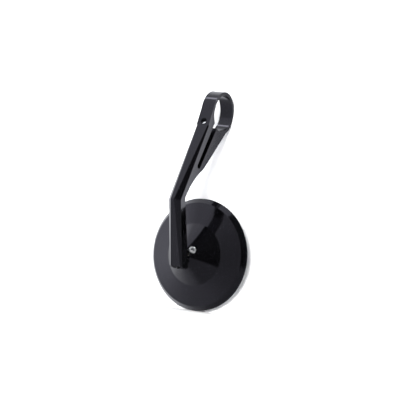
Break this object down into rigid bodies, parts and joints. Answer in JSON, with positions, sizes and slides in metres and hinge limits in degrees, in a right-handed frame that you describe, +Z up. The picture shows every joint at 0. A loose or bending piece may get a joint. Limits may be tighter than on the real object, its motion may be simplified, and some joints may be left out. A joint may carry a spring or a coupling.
{
  "type": "bar-end mirror",
  "caption": "Round bar-end mirror with a stepped conical back, on a machined dog-leg arm with a split clamp ring and a ball joint.",
  "frame": {"origin": "centre of the clamp ring's bore, on the handlebar's axis", "axes": "+X along the handlebar towards the rider, +Y back towards the rider's eyes, +Z up"},
  "size_m": [0.0778, 0.0649, 0.1531],
  "materials": {
    "black_anodised": "gloss anodised",
    "stainless": "polished",
    "bronze": "machined",
    "acetal": "moulded",
    "spring_steel": "ground",
    "plain_aluminium": "sheet",
    "foam": "matte",
    "silvering": "mirror",
    "clear_glass": "polished",
    "rubber_seal": "matte"
  },
  "bodies": {
    "arm": {"arm": "black_anodised", "pinch_screw": "stainless", "pinch_washer": "stainless", "swivel_bush": "bronze", "swivel_pin_screw": "stainless", "thrust_washer": "acetal"},
    "stud": {"ball_stud": "stainless"},
    "cup": {"friction_cup": "acetal"},
    "head": {"housing": "black_anodised", "cup_seat": "bronze", "disc_spring": "spring_steel", "seat_nut": "spring_steel", "clamp_screw": "stainless", "pressure_pad": "bronze", "backing_plate": "plain_aluminium", "plate_screws": "stainless", "foam_pad": "foam", "mirror_coating": "silvering", "mirror_glass": "clear_glass", "rim_seal": "rubber_seal", "rim_bezel": "black_anodised"}
  },
  "joints": [
    {"name": "stud_swivel", "type": "hinge", "parent": "arm", "child": "stud", "pos_m": [0, -0.0175, -0.09897], "axis": [0, 1, 0], "continuous": true},
    {"name": "head_tilt", "type": "hinge", "parent": "stud", "child": "cup", "pos_m": [0, -0.0175, -0.09897], "axis": [1, 0, 0], "range_deg": [-10, 10]},
    {"name": "head_turn", "type": "hinge", "parent": "cup", "child": "head", "pos_m": [0, -0.0175, -0.09897], "axis": [0, 0, 1], "range_deg": [-6, 14]}
  ]
}
